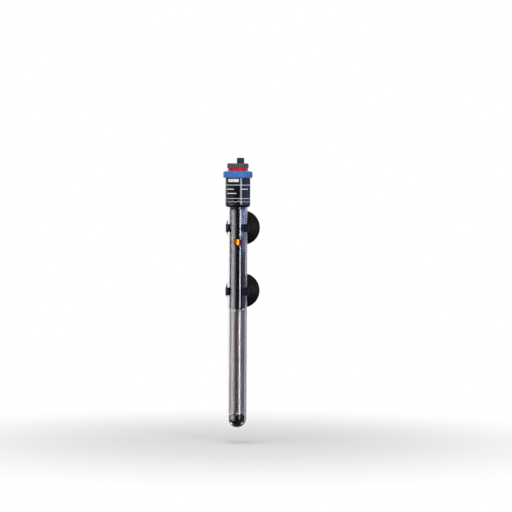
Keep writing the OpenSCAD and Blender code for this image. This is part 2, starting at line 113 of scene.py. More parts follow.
def put(tree, kind, sockets=None, **settings):
    """Adds one node with its settings, and sets or links its sockets."""
    made = tree.nodes.new("ShaderNode" + kind)
    for name, value in settings.items():
        setattr(made, name, value)
    for name, value in (sockets or {}).items():
        if isinstance(value, bpy.types.NodeSocket):
            tree.links.new(value, made.inputs[name])
        else:
            made.inputs[name].default_value = value
    return made


def blank(name):
    """A new material, its node tree and its shader."""
    made = bpy.data.materials.new(name)
    made.use_nodes = True
    return made, made.node_tree, made.node_tree.nodes["Principled BSDF"]


def moulded(name, light, deep, rough, grain=0.5, spread=0.05, depth=0.012, coat=0.0, ior=1.5, shine=0.5):
    """Moulded plastic or rubber: two close tones drift with the flow of the melt, and the tool's fine
    grain (its size in millimetres) breaks up the gloss a little."""
    made, tree, shader = blank(name)
    place = put(tree, "TexCoord").outputs["Object"]
    flow = put(tree, "TexNoise", {"Vector": place, "Scale": 1 / (DRIFT * MM), "Detail": 3.0})
    tool = put(tree, "TexNoise", {"Vector": place, "Scale": 1 / (grain * MM), "Detail": 2.0})
    drift = put(tree, "MapRange", {"Value": flow.outputs["Fac"], **NOISE})
    colour = put(tree, "Mix", {0: drift.outputs["Result"], 6: tone(light), 7: tone(deep)}, data_type="RGBA")
    gloss = put(tree, "MapRange", {"Value": tool.outputs["Fac"], **NOISE,
                                   "To Min": rough - spread, "To Max": rough + spread})
    relief = put(tree, "Bump", {"Height": tool.outputs["Fac"], "Distance": depth * MM, "Strength": 0.6})
    tree.links.new(colour.outputs[2], shader.inputs["Base Color"])
    tree.links.new(gloss.outputs["Result"], shader.inputs["Roughness"])
    tree.links.new(relief.outputs["Normal"], shader.inputs["Normal"])
    shader.inputs["IOR"].default_value = ior
    shader.inputs["Specular IOR Level"].default_value = shine
    shader.inputs["Coat Weight"].default_value = coat
    shader.inputs["Coat Roughness"].default_value = 0.04
    return made


def drawn_metal(name, light, deep, rough, line=0.25, stretch=(1, 1, 0.05)):
    """Drawn, rolled or turned metal: fine lines along the way it was worked, their width in millimetres."""
    made, tree, shader = blank(name)
    place = put(tree, "TexCoord").outputs["Object"]
    along = put(tree, "Mapping", {"Vector": place, "Scale": stretch}).outputs["Vector"]
    lines = put(tree, "TexNoise", {"Vector": along, "Scale": 1 / (line * MM), "Detail": 2.0})
    part = put(tree, "MapRange", {"Value": lines.outputs["Fac"], **NOISE})
    colour = put(tree, "Mix", {0: part.outputs["Result"], 6: tone(light), 7: tone(deep)}, data_type="RGBA")
    gloss = put(tree, "MapRange", {"Value": lines.outputs["Fac"], **NOISE,
                                   "To Min": rough - METAL_SPREAD, "To Max": rough + METAL_SPREAD})
    tree.links.new(colour.outputs[2], shader.inputs["Base Color"])
    tree.links.new(gloss.outputs["Result"], shader.inputs["Roughness"])
    shader.inputs["Metallic"].default_value = 1.0
    return made


def drawn_glass():
    """Borosilicate tube, drawn and fire-polished: clear and smooth, its tint faintly streaked lengthwise."""
    made, tree, shader = blank("borosilicate_glass_drawn")
    place = put(tree, "TexCoord").outputs["Object"]
    along = put(tree, "Mapping", {"Vector": place, "Scale": (1, 1, 0.06)}).outputs["Vector"]
    streaks = put(tree, "TexNoise", {"Vector": along, "Scale": 1 / (3 * MM), "Detail": 2.0})
    film = put(tree, "MapRange", {"Value": streaks.outputs["Fac"], "From Min": 0.45, "From Max": 0.75})
    tint = put(tree, "Mix", {0: film.outputs["Result"], 6: tone("#fdfefe"), 7: tone("#f7faf9")},
               data_type="RGBA")
    tree.links.new(tint.outputs[2], shader.inputs["Base Color"])
    shader.inputs["Roughness"].default_value = 0.0
    shader.inputs["Transmission Weight"].default_value = 1.0
    shader.inputs["IOR"].default_value = 1.474
    return made


def lit_lens():
    """Clear red polycarbonate lens, with the glow of the lamp behind it painted on as emission: a hot yellow
    bar upright in the middle, orange beside it and dark red towards the rim."""
    made, tree, shader = blank("polycarbonate_lens_painted_glow")
    place = put(tree, "TexCoord").outputs["Object"]
    turned_back = put(tree, "Mapping", {"Vector": place, "Location": (-AXIS.x, -AXIS.y, 0)},
                      vector_type="POINT")
    square_on = put(tree, "VectorRotate", {"Vector": turned_back.outputs["Vector"], "Angle": -TURN},
                    rotation_type="Z_AXIS")
    across = put(tree, "SeparateXYZ", {"Vector": square_on.outputs["Vector"]})
    half = 3.7 * MM
    share = put(tree, "MapRange", {"Value": across.outputs["X"], "From Min": -half, "From Max": half})
    # Painted glow: the lamp's light laid across the lens as emission, yellow in the middle, darker red
    # towards the rim
    glow = put(tree, "ValToRGB", {"Fac": share.outputs["Result"]})
    ramp = glow.color_ramp.elements
    stops = [(0.0, "#5c0a10"), (0.2, "#c01a10"), (0.38, "#ee5312"), (0.48, "#ffd21e"),
             (0.62, "#ffd91e"), (0.74, "#d82b10"), (1.0, "#6a0a14")]
    for spot, _ in stops[1:-1]:
        ramp.new(spot)
    for mark, (spot, code) in zip(ramp, stops):
        mark.position, mark.color = spot, tone(code)
    tree.links.new(glow.outputs["Color"], shader.inputs["Emission Color"])
    tree.links.new(glow.outputs["Color"], shader.inputs["Base Color"])
    shader.inputs["Emission Strength"].default_value = 0.6
    # The painted glow is seen, and lights nothing else
    made.cycles.emission_sampling = "NONE"
    shader.inputs["Roughness"].default_value = 0.3
    shader.inputs["Specular IOR Level"].default_value = 0.0
    return made


FINISH = {
    "glass": drawn_glass(),
    # Lens with the lamp's glow painted on as emission
    "lamp_red": lit_lens(),
    # Nickel-chrome wire wound into a fine spiral: silvery, a little dulled by heat
    "resistance_wire": drawn_metal("nickel_chrome_wire_wound", "#eee6de", "#c8bfb6", 0.22, 0.4, (1, 1, 1)),
    # Steatite former, fired without glaze, its tone taken dark grey as painted shade in the gaps between the
    # strands
    "white_ceramic": moulded("steatite_painted_shade", "#6f6a66", "#544f4c", 0.7, 0.4, 0.06, 0.03),
    # Dark fired end pieces
    "dark_ceramic": moulded("steatite_glazed_dark", "#121014", "#0c0b0d", 0.06, 1.5, 0.02, 0.001, ior=1.75),
    "silicone": moulded("silicone_moulded_dark", "#1b1a1b", "#121112", 0.5, 0.6),
    # Dark sleeve rolled from heat-proof film, smooth and glossy
    "sleeve_film": moulded("polyimide_film_rolled", "#1a1824", "#13111b", 0.05, 3.0, 0.01, 0.001, ior=1.65),
    "lamp_glass": moulded("glow_lamp_glass", "#f0a060", "#d98640", 0.1, 2.0),
    "resistor_body": moulded("lacquer_dipped", "#b89b73", "#a58760", 0.35, 0.8),
    "board_laminate": moulded("paper_laminate_sawn", "#8b5f33", "#77502a", 0.6, 0.3, 0.06, 0.02),
    "capacitor_box": moulded("epoxy_potted_box", "#c4932f", "#b08226", 0.35, 0.8),
    "bright_metal": drawn_metal("aluminium_drawn", "#cfcfd2", "#b9b9bd", 0.3),
    "brass": drawn_metal("brass_turned", "#d6b061", "#b98f45", 0.28),
    "bimetal": drawn_metal("bimetal_rolled", "#bdb09a", "#a3967f", 0.35),
    "contact_silver": drawn_metal("silver_pressed", "#dededf", "#c9c9cb", 0.22),
    "magnet": moulded("ferrite_pressed", "#3a3a3d", "#2c2c2f", 0.55, 0.3, 0.06, 0.02),
    "nut_plastic": moulded("nylon_natural", "#e6e0d2", "#d8d1c0", 0.45),
    "seal_rubber": moulded("nitrile_rubber", "#1a1a1a", "#101010", 0.6),
    "brown_insulation": moulded("pvc_brown", "#6b3d20", "#5c331a", 0.45),
    "blue_insulation": moulded("pvc_blue", "#2a4f9e", "#234387", 0.45),
    # ABS moulded in a polished tool, very dark blue
    "housing_navy": moulded("abs_polished_navy", "#16141f", "#110f19", 0.09, 2.0, 0.015, 0.001, 0.15),
    "plug_black": moulded("polypropylene_black", "#262629", "#1d1d20", 0.42),
    "scale_blue": moulded("abs_satin_blue", "#366fb3", "#3068aa", 0.42, 0.6, shine=0.35),
    "pointer_red": moulded("abs_satin_red", "#f2061f", "#e20319", 0.42, 0.6, shine=0.15),
    "knob_grey": moulded("polypropylene_grey", "#545056", "#4a464c", 0.5, 0.5, shine=0.35),
    "gland_rubber": moulded("rubber_moulded_black", "#2f2c2d", "#242122", 0.5, 0.6),
    "clip_navy": moulded("polypropylene_navy", "#13152a", "#0f1022", 0.38, 0.6, shine=0.15),
    "cup_rubber": moulded("rubber_cup_black", "#0f0c0d", "#0a0808", 0.5, 0.8, shine=0.2),
}
# White ink printed on the head and the scale ring: matt, thin, a little uneven
WHITE_INK = moulded("ink_printed_white", "#e9e9ec", "#d9d9de", 0.5, 0.4)

slots = {row["node"]: row["material_slot"] for row in frame["record"]["subparts"]}
for name, solid in frame["nodes"].items():
    solid.data.materials.clear()
    solid.data.materials.append(FINISH[slots[name]])


# Hand work: each of these leaves the piece selected, in object mode or in edit mode as said

# Vertices closer than this are one, in millimetres
MERGE = 0.001


def deselect():
    bpy.ops.object.select_all(action="DESELECT")


def only(piece):
    """Leaves one piece selected and active."""
    deselect()
    piece.select_set(True)
    bpy.context.view_layer.objects.active = piece


def pick(test, kind="VERT"):
    """In edit mode, selects the vertices, edges or faces that pass a test."""
    bpy.ops.mesh.select_mode(type=kind)
    bpy.ops.mesh.select_all(action="DESELECT")
    shape = bmesh.from_edit_mesh(bpy.context.object.data)
    for part in {"VERT": shape.verts, "EDGE": shape.edges, "FACE": shape.faces}[kind]:
        part.select_set(bool(test(part)))
    shape.select_flush_mode()
    bmesh.update_edit_mesh(bpy.context.object.data)


def close_up():
    """In edit mode, merges doubles, turns the faces outwards and goes back to object mode."""
    bpy.ops.mesh.select_mode(type="VERT")
    bpy.ops.mesh.select_all(action="SELECT")
    bpy.ops.mesh.remove_doubles(threshold=MERGE * MM)
    bpy.ops.mesh.normals_make_consistent(inside=False)
    bpy.ops.object.mode_set(mode="OBJECT")
    return bpy.context.object


def dot(place):
    """Starts a piece from one vertex, in edit mode with it selected."""
    deselect()
    bpy.ops.mesh.primitive_plane_add(size=MM, location=place)
    bpy.ops.object.transform_apply()
    bpy.ops.object.mode_set(mode="EDIT")
    bpy.ops.mesh.select_mode(type="VERT")
    bpy.ops.mesh.select_all(action="SELECT")
    bpy.ops.mesh.merge(type="CENTER")


def turned(outline, centre=AXIS, base=TIP, steps=128):
    """A turned piece: a vertex drawn along an outline of (radius, height above the base, corner radius)
    in millimetres, its corners rounded, then spun round an upright line through the centre."""
    spots = [Vector((centre.x + row[0] * MM, centre.y, base + row[1] * MM)) for row in outline]
    dot(spots[0])
    for before, after in zip(spots, spots[1:]):
        bpy.ops.mesh.extrude_vertices_move(TRANSFORM_OT_translate={"value": after - before})
    bpy.ops.mesh.select_all(action="SELECT")
    bpy.ops.mesh.remove_doubles(threshold=MERGE * MM)
    for spot, row in zip(spots, outline):
        if len(row) > 2:
            pick(lambda v: (v.co - spot).length < 2 * MERGE * MM)
            bpy.ops.mesh.bevel(offset=row[2] * MM, segments=4 + round(2 * row[2]), affect="VERTICES")
    bpy.ops.mesh.select_all(action="SELECT")
    bpy.ops.mesh.spin(steps=steps, angle=2 * math.pi, center=(centre.x, centre.y, 0), axis=(0, 0, 1))
    return close_up()


def applied(piece, kind, **settings):
    """Adds a modifier and applies it."""
    only(piece)
    made = piece.modifiers.new(kind.title(), kind)
    for name, value in settings.items():
        setattr(made, name, value)
    bpy.ops.object.modifier_apply(modifier=made.name)
    return piece


def finished(piece, name, body, slot=None, nodes=(), material=None, smooth=35):
    """Names a piece, gives it its material and smooth shading, and hands it to its CAD body."""
    piece.name = piece.data.name = name
    piece.data.materials.clear()
    piece.data.materials.append(material or FINISH[slot])
    only(piece)
    bpy.ops.object.transform_apply()
    bpy.ops.object.shade_smooth_by_angle(angle=math.radians(smooth))
    # Broad faces keep their own normals, so that a long straight wall mirrors straight up to its rounded end
    applied(piece, "WEIGHTED_NORMAL", keep_sharp=True, weight=100)
    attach(piece, body)
    if nodes:
        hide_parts(*nodes)
    return piece


# Glass tube

def glass_wall():
    """One wall of glass: a round closed end, straight sides and a fire-rounded open end inside the head."""
    _, high, outer = ends("glass_tube")
    wall, steps = 1.4, 18
    bore = outer - wall
    bend = [math.radians(90 * i / steps) for i in range(steps + 1)]
    outside = [(outer * math.sin(a), outer - outer * math.cos(a)) for a in bend]
    inside = [(bore * math.sin(a), outer - bore * math.cos(a)) for a in reversed(bend)]
    piece = turned(outside + [(outer, high, 0.5), (bore, high, 0.5)] + inside)
    finished(piece, "glass_wall", "heater", "glass", ["glass_tube"])


# Winding

# Pressed flat on the former: what is left of a strand's depth
STRAND_FLAT = 0.7


def wound_wire():
    """One wire laid up and down the former in twelve slanting strands, bent back at each end. Each strand is
    a fine spiral pressed flat, so close that it shines like a ribbon."""
    outer = ends("heating_wire")[2]
    count, lead, thick = 12, 37.7, 1.15
    reach = outer - thick
    slope = math.atan2(lead, 2 * math.pi * reach)
    shift = 2 * math.pi * reach / count * math.cos(slope) * math.sin(slope)
    bottom, top, pitch, foot = 16.4, 137.3, 1.2, 15

    def flat(k, height):
        """A place on a strand with the former's wall rolled out flat."""
        return Vector(((k / count + (height - foot) / lead) * 2 * math.pi * reach, height))

    path = []
    for k in range(count):
        if k % 2 == 0:
            begin, end = top - (shift if k else 0), bottom + shift
        else:
            begin, end = bottom, top
        steps = round(abs(end - begin) / math.sin(slope) / pitch)
        path += [flat(k, begin + (end - begin) * i / steps) for i in range(steps + 1)]
        if k < count - 1:
            following = bottom if k % 2 == 0 else top - shift
            start, stop = flat(k, end), flat(k + 1, following)
            middle, out = (start + stop) / 2, (start - stop) / 2
            ahead = Vector((math.cos(slope), math.sin(slope))) * out.length * (-1 if k % 2 == 0 else 1)
            turns = max(8, round(math.pi * out.length / pitch))
            path += [middle + out * math.cos(math.pi * i / turns) + ahead * math.sin(math.pi * i / turns)
                     for i in range(1, turns)]
    line = bpy.data.curves.new("winding", "CURVE")
    line.dimensions = "3D"
    line.bevel_depth = thick * MM
    line.bevel_resolution = 4
    line.use_fill_caps = True
    strand = line.splines.new("POLY")
    strand.points.add(len(path) - 1)
    for knot, spot in zip(strand.points, path):
        way = TURN + spot.x / reach
        knot.co = (AXIS.x + reach * MM * math.cos(way), AXIS.y + reach * MM * math.sin(way),
                   TIP + spot.y * MM, 1)
    piece = bpy.data.objects.new("winding", line)
    bpy.context.scene.collection.objects.link(piece)
    only(piece)
    bpy.ops.object.convert(target="MESH")
    piece = bpy.context.object
    for corner in piece.data.vertices:
        out = Vector((corner.co.x - AXIS.x, corner.co.y - AXIS.y, 0))
        depth = outer * MM - out.length
        corner.co += out.normalized() * depth * (1 - STRAND_FLAT)
    finished(piece, "wound_wire", "heater", "resistance_wire", ["heating_wire"], smooth=80)


def end_pieces():
    """Dark cap under the winding and the soft pad between it and the end of the tube."""
    low, high, outer = ends("lower_element_cap")
    hole, seat, deep = 1.4, 6.68, 4.5
    cap = turned([(hole, low), (outer, low, 2.3), (outer, high, 0.4), (seat, high, 0.15),
                  (seat, high - deep), (hole, high - deep), (hole, low)])
    finished(cap, "element_cap", "heater", "dark_ceramic", ["lower_element_cap"])

    low, high, outer = ends("bottom_cushion")
    wall_and_room, steps = 1.6, 8
    ball = ends("glass_tube")[2] - wall_and_room
    centre = low + ball
    edge = math.asin(outer / ball)
    bend = [edge * i / steps for i in range(steps + 1)]
    under = [(ball * math.sin(a), centre - ball * math.cos(a)) for a in bend]
    pad = turned(under[:-1] + [under[-1] + (0.4,), (outer, high, 0.5), (0, high)])
    finished(pad, "tip_pad", "heater", "silicone", ["bottom_cushion"])


# Sleeve and lamp

LENS_WIDE, LENS_HIGH = 8.8, 6.9


def dark_sleeve():
    """Tube of dark film round the thermostat, with an oval window cut for the lamp."""
    low, high, outer = ends("light_sleeve")
    wall = 0.45
    piece = turned([(outer - wall, low), (outer, low, 0.1), (outer, high, 0.1), (outer - wall, high),
                    (outer - wall, low)], steps=192)
    deselect()
    bpy.ops.mesh.primitive_cylinder_add(
        vertices=64, radius=LENS_HIGH / 2 * MM, depth=outer * MM, rotation=(math.pi / 2, 0, TURN),
        location=around(0, outer, LAMP))
    cutter = bpy.context.object
    bpy.ops.object.mode_set(mode="EDIT")
    for side in (-1, 1):
        pick(lambda v: v.co.x * side > 0.0001 * MM)
        bpy.ops.transform.translate(value=side * RIGHT_HAND * (LENS_WIDE - LENS_HIGH) / 2 * MM)
    bpy.ops.object.mode_set(mode="OBJECT")
    bpy.ops.object.transform_apply()
    applied(piece, "BOOLEAN", operation="DIFFERENCE", solver="EXACT", object=cutter)
    bpy.data.objects.remove(cutter)
    finished(piece, "dark_sleeve", "heater", "sleeve_film", ["light_sleeve"])


def domed_lens():
    """Lens of the lamp: a shallow oval dome that fills the sleeve's window, a little proud of it."""
    seat, crown, flange = 8.0, 9.65, 0.5
    deselect()
    bpy.ops.mesh.primitive_uv_sphere_add(
        segments=48, ring_count=24, radius=1.0, location=around(0, seat, LAMP), rotation=(0, 0, TURN))
    piece = bpy.context.object
    piece.scale = (LENS_WIDE / 2 * MM, (crown - seat) * MM, LENS_HIGH / 2 * MM)
    bpy.ops.object.transform_apply()
    bpy.ops.object.mode_set(mode="EDIT")
    bpy.ops.mesh.select_all(action="SELECT")
    bpy.ops.mesh.bisect(plane_co=around(0, seat - flange, LAMP), plane_no=OUT, use_fill=True,
                        clear_inner=True)
    close_up()
    finished(piece, "lamp_dome", "heater", "lamp_red", ["lamp_lens"], smooth=50)


# Head

def head_shell():
    """Housing turned in one piece: deep round underneath, a fine edge above, a lip that holds the glass."""
    low, high, outer = ends("head_housing")
    glass, bore, lip = 11.55, 13.1, 4.0
    piece = turned([(glass, low, 0.3), (outer, low, 3), (outer, high, 0.4), (bore, high, 0.2),
                    (bore, low + lip), (glass, low + lip), (glass, low)])
    finished(piece, "head_shell", "heater", "housing_navy", ["head_housing"])


# Radius and thickness of the print on the head
INK = 14.53
INK_THICK = 0.06


def ink(piece, name):
    """Gives a printed patch its thickness and its finish."""
    applied(piece, "SOLIDIFY", thickness=INK_THICK * MM, offset=0)
    finished(piece, name, "heater", material=WHITE_INK)


def printed_patch(name, begin, end, low, high, corner=0.0):
    """A patch of ink on the head, between two angles from its front and two heights in millimetres."""
    dot(around(begin, INK, low))
    bpy.ops.mesh.extrude_vertices_move(TRANSFORM_OT_translate={"value": (0, 0, (high - low) * MM)})
    bpy.ops.mesh.select_all(action="SELECT")
    bpy.ops.mesh.spin(steps=max(2, round((end - begin) / 2)), angle=-math.radians(end - begin),
                      center=(AXIS.x, AXIS.y, 0), axis=(0, 0, 1))
    bpy.ops.mesh.select_all(action="SELECT")
    bpy.ops.mesh.remove_doubles(threshold=MERGE * MM)
    if corner:
        tips = [around(angle, INK, level) for angle in (begin, end) for level in (low, high)]
        pick(lambda v: min((v.co - tip).length for tip in tips) < 2 * MERGE * MM)
        bpy.ops.mesh.bevel(offset=corner * MM, segments=4, affect="VERTICES")
    ink(close_up(), name)


def printed_wave(level, thick, waves, swing):
    """A wavy line of ink all round the head."""
    dot(around(0, INK, level))
    bpy.ops.mesh.extrude_vertices_move(TRANSFORM_OT_translate={"value": (0, 0, thick * MM)})
    bpy.ops.mesh.select_all(action="SELECT")
    bpy.ops.mesh.spin(steps=24 * waves, angle=2 * math.pi, center=(AXIS.x, AXIS.y, 0), axis=(0, 0, 1))
    piece = close_up()
    for corner in piece.data.vertices:
        way = math.atan2(corner.co.y - AXIS.y, corner.co.x - AXIS.x)
        corner.co.z += swing * MM * math.sin(waves * way)
    ink(piece, "print_wave")


def head_print():
    """Plain white print, with no words: a blank plate above, lines and bars, and a wavy line below."""
    printed_patch("print_plate", -50, 4, 285.3, 288.9, 0.6)
    printed_patch("print_line_upper", -78, 78, 281.5, 282.1)
    printed_patch("print_bar_left", -62, -18, 276.6, 277.5, 0.4)
    printed_patch("print_bar_right", 14, 52, 276.6, 277.5, 0.4)
    printed_patch("print_bar_low", -58, -6, 271.7, 272.6, 0.4)
    printed_patch("print_line_lower", -78, 78, 266.0, 266.5)
    printed_wave(262.4, 0.36, 13, 0.6)


# Dial

RING_TOP = ends("scale_ring")[1]
# The ring's slope: the radius where it starts, and its fall
SLOPE_FROM, SLOPE = 13.55, 0.3
# Where the pointer stands at rest, in degrees from the front, and the value it then shows
POINTER, SHOWN = -45, 26


def dial_ring():
    """Ring round the head, its top sloping outwards so that the scale can be read from the front."""
    low, high, outer = ends("scale_ring")
    bore = 13.1
    rim = high - (outer - SLOPE_FROM) * SLOPE
    piece = turned([(bore, low), (outer, low, 1.5), (outer, rim, 1.1), (SLOPE_FROM, high, 0.3), (bore, high),
                    (bore, low)])
    finished(piece, "dial_ring", "heater", "scale_blue", ["scale_ring"])


def on_slope(piece, angle, radius):
    """Lays a flat mesh on the ring's slope, its top towards the axis."""
    piece.location = around(angle, radius, RING_TOP - (radius - SLOPE_FROM) * SLOPE)
    piece.rotation_euler = (math.atan(SLOPE), 0, TURN + math.radians(angle))
    only(piece)
    bpy.ops.object.transform_apply()


def joined(pieces):
    """Several meshes as one."""
    deselect()
    for piece in pieces:
        piece.select_set(True)
    bpy.context.view_layer.objects.active = pieces[0]
    bpy.ops.object.join()
    return bpy.context.object


def dial_marks():
    """Scale from 18 to 34 degrees: a mark for each degree, a number for every other."""
    degrees, sweep = range(18, 35), 240
    step = sweep / (len(degrees) - 1)
    marks, wide, long = 14.15, 0.26, 1.0
    numbers, tall = 15.55, 1.9
    deselect()
    bpy.ops.mesh.primitive_cube_add(size=MM)
    mark = bpy.context.object
    mark.scale = (wide, long, INK_THICK)
    bpy.ops.object.transform_apply()
    bpy.ops.object.mode_set(mode="EDIT")
    pick(lambda e: abs(e.verts[0].co.z - e.verts[1].co.z) > 0.5 * INK_THICK * MM, "EDGE")
    bpy.ops.mesh.bevel(offset=0.08 * MM, segments=3, affect="EDGES")
    bpy.ops.object.mode_set(mode="OBJECT")
    pieces = []
    for value in degrees:
        angle = POINTER + (value - SHOWN) * step
        line = mark.copy()
        line.data = mark.data.copy()
        bpy.context.scene.collection.objects.link(line)
        on_slope(line, angle, marks)
        pieces.append(line)
        if value % 2 == 0:
            deselect()
            bpy.ops.object.text_add()
            words = bpy.context.object.data
            words.body = str(value)
            words.size = tall * MM
            words.align_x, words.align_y = "CENTER", "CENTER"
            words.resolution_u = 4
            words.extrude = INK_THICK / 2 * MM
            bpy.ops.object.convert(target="MESH")
            figure = bpy.context.object
            on_slope(figure, angle, numbers)
            pieces.append(figure)
    bpy.data.objects.remove(mark)
    finished(joined(pieces), "dial_marks", "heater", material=WHITE_INK)


def pointer():
    """Red ring under the knob, with a beak on its side: broad above, sharp below, close over the scale."""
    low, high, _ = ends("pointer_ring")
    outer, skirt = 11.65, 10.4
    ring = turned([(skirt, low), (outer, low, 0.2), (outer, high, 0.2), (skirt, high), (skirt, low)])
    root, tip, beak_half, tip_half, step = 11.05, 13.35, 2.3, 0.2, 0.3
    deselect()
    bpy.ops.mesh.primitive_cube_add(size=MM)
    beak = bpy.context.object
    beak.scale = (2 * beak_half, tip - root, high - low - step)
    bpy.ops.object.transform_apply()
    bpy.ops.object.mode_set(mode="EDIT")
    pick(lambda v: v.co.z < 0)
    bpy.ops.transform.resize(value=(tip_half / beak_half, 1, 1))
    bpy.ops.object.mode_set(mode="OBJECT")
    applied(beak, "BEVEL", width=0.15 * MM, segments=3)
    beak.location = around(POINTER, (root + tip) / 2, (low + high - step) / 2)
    beak.rotation_euler = (0, 0, TURN + math.radians(POINTER))
    applied(ring, "BOOLEAN", operation="UNION", solver="EXACT", object=beak)
    bpy.data.objects.remove(beak)
    finished(ring, "pointer_collar", "pointer", "pointer_red", ["pointer_ring"])


def gland():
    """Rubber gland beside the axis, with an open hole for the cable and a collar below the knob's top."""
    low, high, outer = ends("cable_gland")
    collar = ends("head_plug")[1] + 0.05
    stem, hole = 3.6, 2.7
    piece = turned([(0, low), (stem, low), (stem, collar), (outer, collar, 0.2), (outer, high, 0.7),
                    (hole, high, 0.4), (hole, low + 2), (0, low + 2)], centre=GLAND, steps=64)
    finished(piece, "gland", "heater", "gland_rubber", ["cable_gland"])


# Clips and cups

def sucker(name, body, node):
    """Suction cup: thin lip, domed back, hub, and a mushroom peg that snaps into the clip."""
    low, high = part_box(node)
    rim, lip, rise, hollow, hub = (high.x - low.x) / 2 / MM, 0.8, 8.4, 5.4, 8.5
    hub_high, neck, neck_high, peg, peg_high = 12.9, 2.5, 15.5, 3.6, (high.y - low.y) / MM
    seal = 1.6
    bowl = rim - seal
    inner_round = (bowl ** 2 + hollow ** 2) / (2 * hollow)
    outer_round = (rim ** 2 + (rise - lip) ** 2) / (2 * (rise - lip))
    steps = 12
    inner_way = [bowl * i / steps for i in range(steps + 1)]
    outer_way = [rim + (hub - rim) * i / steps for i in range(steps + 1)]
    under = [(r, hollow - inner_round + math.sqrt(inner_round ** 2 - r ** 2)) for r in inner_way]
    back = [(r, rise - outer_round + math.sqrt(outer_round ** 2 - r ** 2)) for r in outer_way]
    piece = turned(under + [(rim, 0, 0.25)] + [back[0] + (0.25,)] + back[1:-1] + [back[-1] + (1.0,)]
                   + [(hub, hub_high, 1.6), (neck, hub_high), (neck, neck_high), (peg, neck_high, 0.3),
                      (peg, peg_high, 1.0), (0, peg_high)], centre=Vector((0, 0, 0)), base=0)
    piece.rotation_euler = (math.pi / 2, 0, 0)
    piece.location = ((low.x + high.x) / 2, high.y, (low.z + high.z) / 2)
    finished(piece, name, body, "cup_rubber", [node])


def snap_clip(name, body, node):
    """Spring clip: a bar spun round the tube, its tips rounded, with a boss behind for the cup's peg."""
    low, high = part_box(node)
    level = (low.z + high.z) / 2
    inner, wall, tall, mouth = 11.6, 2.3, 9.0, 88
    middle = inner + wall / 2
    tip = math.degrees(wall / 2 / middle)
    begin = math.radians(-90 + mouth / 2 - tip)
    sweep = math.radians(360 - mouth + 2 * tip)
    deselect()
    bpy.ops.mesh.primitive_plane_add(
        size=MM, rotation=(math.pi / 2, 0, begin),
        location=(AXIS.x + middle * MM * math.cos(begin), AXIS.y + middle * MM * math.sin(begin), level))
    piece = bpy.context.object
    piece.scale = (wall, tall, 1)
    bpy.ops.object.transform_apply()
    bpy.ops.object.mode_set(mode="EDIT")
    bpy.ops.mesh.select_all(action="SELECT")
    bpy.ops.mesh.spin(steps=72, angle=-sweep, center=(AXIS.x, AXIS.y, level), axis=(0, 0, 1))
    close_up()
    bpy.ops.object.mode_set(mode="EDIT")

    def tip_edge(edge):
        one, two = edge.verts
        upright = abs(one.co.z - two.co.z) > tall * 0.9 * MM
        return upright and len(edge.link_faces) == 2 and edge.calc_face_angle(0) > math.radians(60)

    pick(tip_edge, "EDGE")
    bpy.ops.mesh.bevel(offset=(wall / 2 - 0.02) * MM, segments=6, affect="EDGES")
    bpy.ops.object.mode_set(mode="OBJECT")

    # Boss, cut to the tube's round in front and hollow behind for the peg
    boss_round, boss_wall, hollow = 5.6, 3, 2.6
    root = (inner - 1) * MM
    reach = high.y - AXIS.y
    deselect()
    bpy.ops.mesh.primitive_cylinder_add(
        vertices=64, radius=boss_round * MM, depth=reach - root, rotation=(math.pi / 2, 0, 0),
        location=(AXIS.x, AXIS.y + (reach + root) / 2, level))
    boss = bpy.context.object
    bpy.ops.object.transform_apply()
    bpy.ops.object.mode_set(mode="EDIT")
    pick(lambda f: f.normal.y > 0.9, "FACE")
    bpy.ops.mesh.inset(thickness=boss_wall * MM)
    bpy.ops.mesh.extrude_region_move(TRANSFORM_OT_translate={"value": (0, -hollow * MM, 0)})
    bpy.ops.object.mode_set(mode="OBJECT")
    deselect()
    bpy.ops.mesh.primitive_cylinder_add(
        vertices=96, radius=inner * MM, depth=2 * tall * MM, location=(AXIS.x, AXIS.y, level))
    bore = bpy.context.object
    applied(boss, "BOOLEAN", operation="DIFFERENCE", solver="EXACT", object=bore)
    applied(piece, "BOOLEAN", operation="UNION", solver="EXACT", object=boss)
    bpy.data.objects.remove(boss)
    bpy.data.objects.remove(bore)
    applied(piece, "BEVEL", width=0.35 * MM, segments=3, limit_method="ANGLE", angle_limit=math.radians(40))
    finished(piece, name, body, "clip_navy", [node])


glass_wall()
wound_wire()
end_pieces()
dark_sleeve()
domed_lens()
head_shell()
head_print()
dial_ring()
dial_marks()
pointer()
gland()
snap_clip("upper_snap_clip", "upper_holder", "upper_clip")
snap_clip("lower_snap_clip", "lower_holder", "lower_clip")
sucker("upper_cup_rubber", "upper_sucker", "upper_cup")
sucker("lower_cup_rubber", "lower_sucker", "lower_cup")


# Camera

SHOT_TURN = math.radians(12)
SHOT_RISE = math.radians(2.5)
TOWARDS = Vector((math.sin(SHOT_TURN) * math.cos(SHOT_RISE), -math.cos(SHOT_TURN) * math.cos(SHOT_RISE),
                  math.sin(SHOT_RISE)))
RIGHT = Vector((math.cos(SHOT_TURN), math.sin(SHOT_TURN), 0))
UP = RIGHT.cross(-TOWARDS)
FRONT = Vector((math.sin(SHOT_TURN), -math.cos(SHOT_TURN), 0))
MIDDLE = Vector((AXIS.x, AXIS.y, (TIP + TOP) / 2))

# A long lens some way off. The heater stands a little left of and below the middle of the frame.
DISTANCE = 3.07
AIM_RIGHT, AIM_UP = 0.0215, 0.0429
ROLL = math.radians(0.3)
shot = bpy.data.cameras.new("shot")
shot.lens = 186
shot.sensor_width = 36
camera = bpy.data.objects.new("shot", shot)
bpy.context.scene.collection.objects.link(camera)
camera.location = MIDDLE + TOWARDS * DISTANCE
aim = MIDDLE + RIGHT * AIM_RIGHT + UP * AIM_UP
camera.rotation_mode = "QUATERNION"
camera.rotation_quaternion = ((aim - camera.location).to_track_quat("-Z", "Y")
                              @ Quaternion((0, 0, 1), ROLL))
bpy.context.scene.camera = camera


# Light

